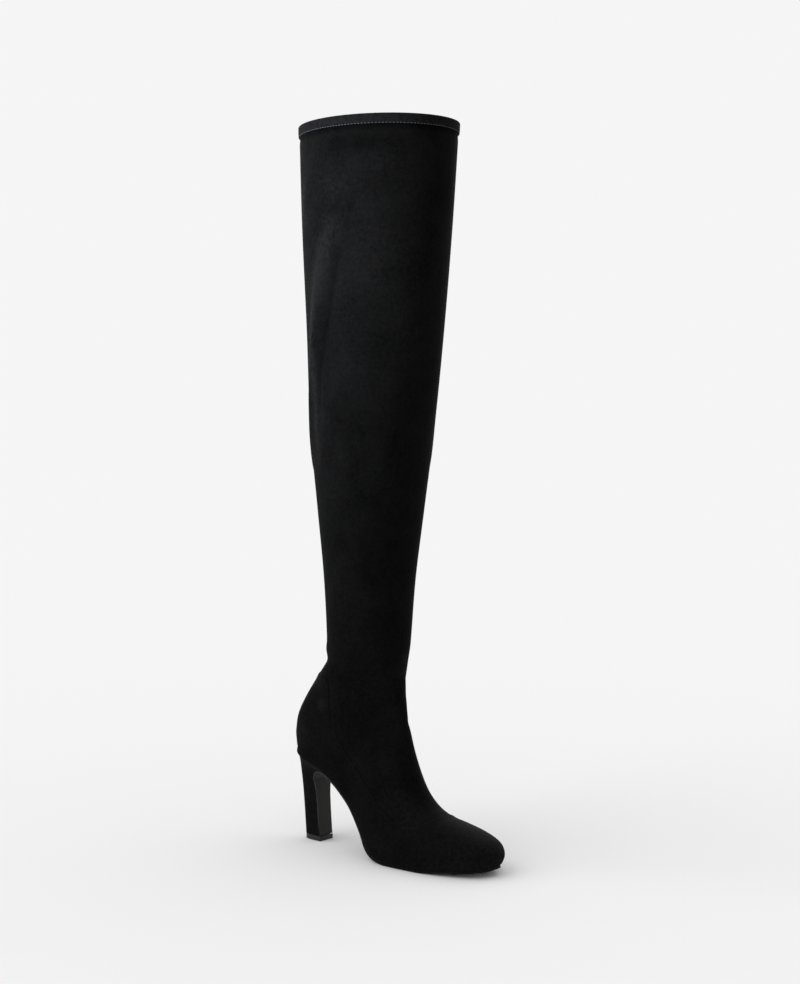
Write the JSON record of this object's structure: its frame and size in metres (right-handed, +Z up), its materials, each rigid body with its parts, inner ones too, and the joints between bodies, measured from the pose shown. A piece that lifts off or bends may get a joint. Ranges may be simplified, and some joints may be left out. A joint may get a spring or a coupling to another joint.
{
  "type": "tall boot",
  "caption": "Tall pull-on right boot with a sock-like stretch shaft, almond toe, thin sole and slim covered heel, worn over the knee.",
  "frame": {"origin": "on the floor under the middle of the heel's tread", "axes": "+X toward the toe, +Y to the wearer's left (inner side), +Z up the leg"},
  "size_m": [0.2308, 0.1394, 0.6807],
  "materials": {
    "upper": "brushed microsuede with a short nap",
    "shaft": "stretch microsuede with a short nap",
    "outsole": "smooth dark sole sheet, satin",
    "insole": "matt lining",
    "heel": "microsuede drawn over a moulded heel",
    "top_lift": "hard rubber, half gloss"
  },
  "bodies": {
    "root": {"upper": "upper", "shaft": "shaft", "outsole": "outsole", "insole": "insole", "heel": "heel", "top_lift": "top_lift"}
  },
  "joints": []
}
